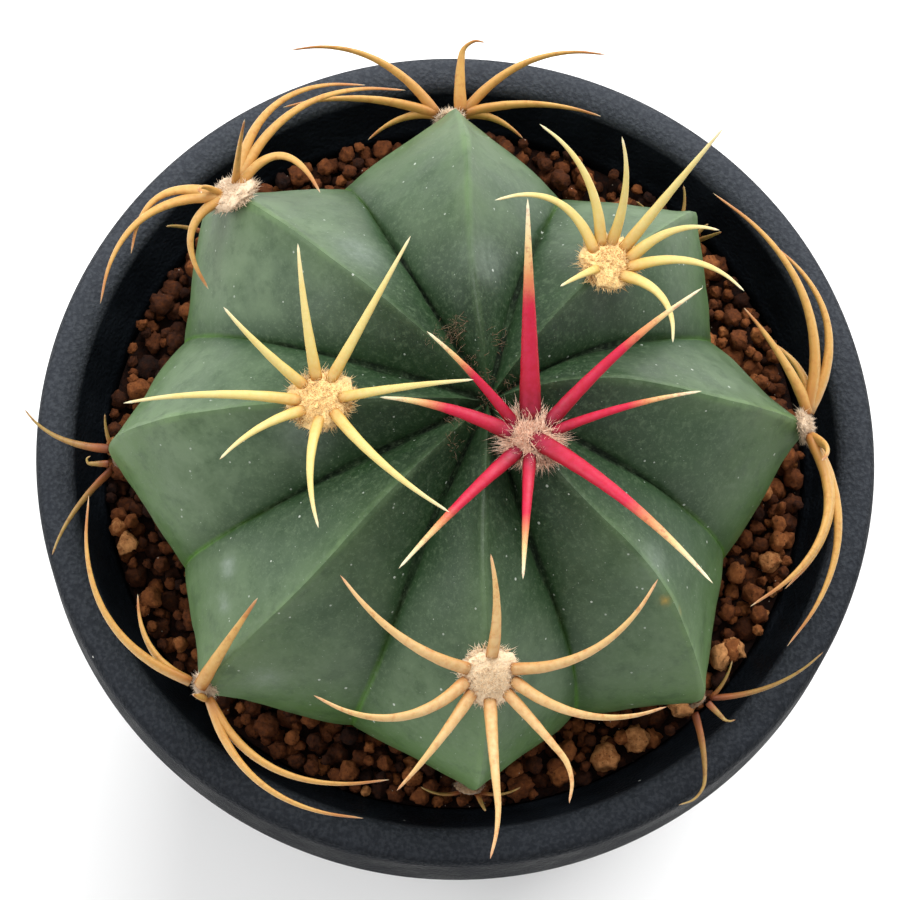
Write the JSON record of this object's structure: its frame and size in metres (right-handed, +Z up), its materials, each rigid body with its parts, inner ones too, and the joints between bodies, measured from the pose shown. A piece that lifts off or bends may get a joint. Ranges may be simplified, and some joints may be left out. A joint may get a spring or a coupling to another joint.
{
  "type": "potted round cactus",
  "caption": "Flattened globe cactus with broad ribs, wool pads and long curved spines, set in gritty soil in a plain round nursery pot.",
  "frame": {"origin": "centre of the flat underside of the pot's base", "axes": "+Z up along the pot's axis; the pictured view looks down from the -Y side; +X to the viewer's right, towards the rib listed first"},
  "size_m": [0.1059, 0.1088, 0.1317],
  "materials": {
    "pot_plastic": "black, finely pebbled, satin",
    "soil": "porous reddish-brown granules",
    "soil_grains": "porous granule, dusty",
    "plant_skin": "waxy green skin with a grey bloom",
    "young_spines": "glossy crimson turning pale at the tips",
    "spines": "horn-like, cream to amber"
  },
  "bodies": {
    "root": {"pot": "pot_plastic", "soil_bed": "soil", "cactus_body": "plant_skin", "spine_cluster_01": "young_spines", "spine_cluster_02": "spines", "spine_cluster_03": "spines", "spine_cluster_04": "spines", "spine_cluster_05": "spines", "spine_cluster_06": "spines", "spine_cluster_07": "spines", "spine_cluster_08": "spines", "spine_cluster_09": "spines", "spine_cluster_10": "spines", "spine_cluster_11": "spines", "spine_cluster_12": "spines", "spine_cluster_13": "spines", "soil_grain_01": "soil_grains", "soil_grain_02": "soil_grains", "soil_grain_03": "soil_grains", "soil_grain_04": "soil_grains", "soil_grain_05": "soil_grains", "soil_grain_06": "soil_grains", "soil_grain_07": "soil_grains", "soil_grain_08": "soil_grains", "soil_grain_09": "soil_grains", "soil_grain_10": "soil_grains", "soil_grain_11": "soil_grains", "soil_grain_12": "soil_grains", "soil_grain_13": "soil_grains", "soil_grain_14": "soil_grains", "soil_grain_15": "soil_grains", "soil_grain_16": "soil_grains", "soil_grain_17": "soil_grains", "soil_grain_18": "soil_grains", "soil_grain_19": "soil_grains", "soil_grain_20": "soil_grains", "soil_grain_21": "soil_grains", "soil_grain_22": "soil_grains", "soil_grain_23": "soil_grains", "soil_grain_24": "soil_grains", "soil_grain_25": "soil_grains", "soil_grain_26": "soil_grains", "soil_grain_27": "soil_grains", "soil_grain_28": "soil_grains", "soil_grain_29": "soil_grains", "soil_grain_30": "soil_grains"}
  },
  "joints": []
}
